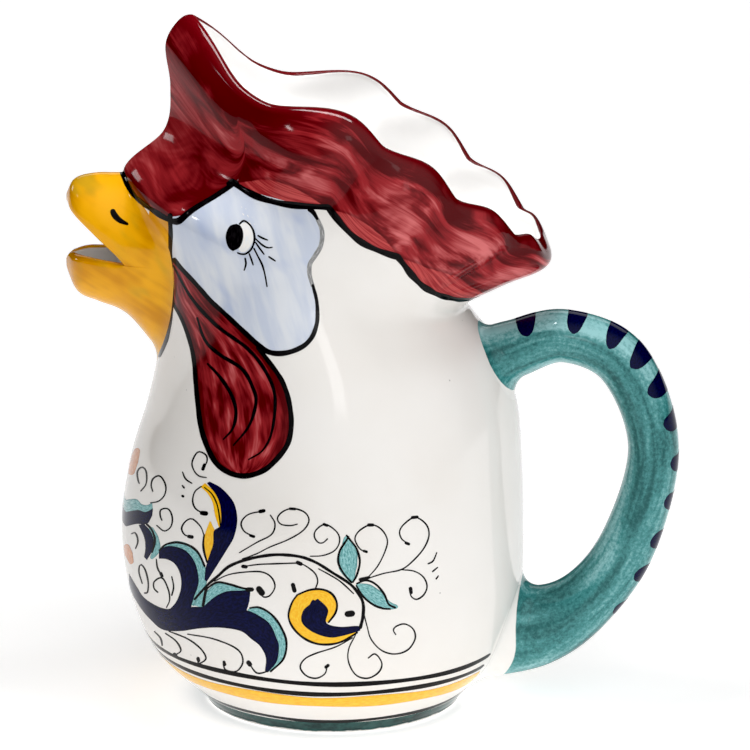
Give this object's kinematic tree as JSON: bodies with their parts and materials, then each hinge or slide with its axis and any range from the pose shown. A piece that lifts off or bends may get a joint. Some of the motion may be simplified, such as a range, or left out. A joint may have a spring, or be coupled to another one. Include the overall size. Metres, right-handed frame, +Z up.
{
  "type": "pitcher",
  "caption": "Glazed earthenware pitcher shaped as a hen's head: an open comb rim to fill it, a hollow beak that pours, a round foot and a flared strap handle.",
  "frame": {"origin": "centre of the foot ring's resting face", "axes": "+Z up, -X towards the beak, +X towards the handle, +Y to the bird's right side"},
  "size_m": [0.2107, 0.1342, 0.2392],
  "materials": {
    "white_glaze": "glossy white tin glaze",
    "comb_red": "glossy brushed dark red under glaze",
    "beak_yellow": "glossy brushed yellow ochre under glaze",
    "handle_teal": "glossy mottled teal under glaze"
  },
  "bodies": {
    "root": {"body_shell": "white_glaze", "foot_ring": "white_glaze", "comb_rim": "comb_red", "upper_bill": "beak_yellow", "lower_bill": "beak_yellow", "handle": "handle_teal"}
  },
  "joints": []
}
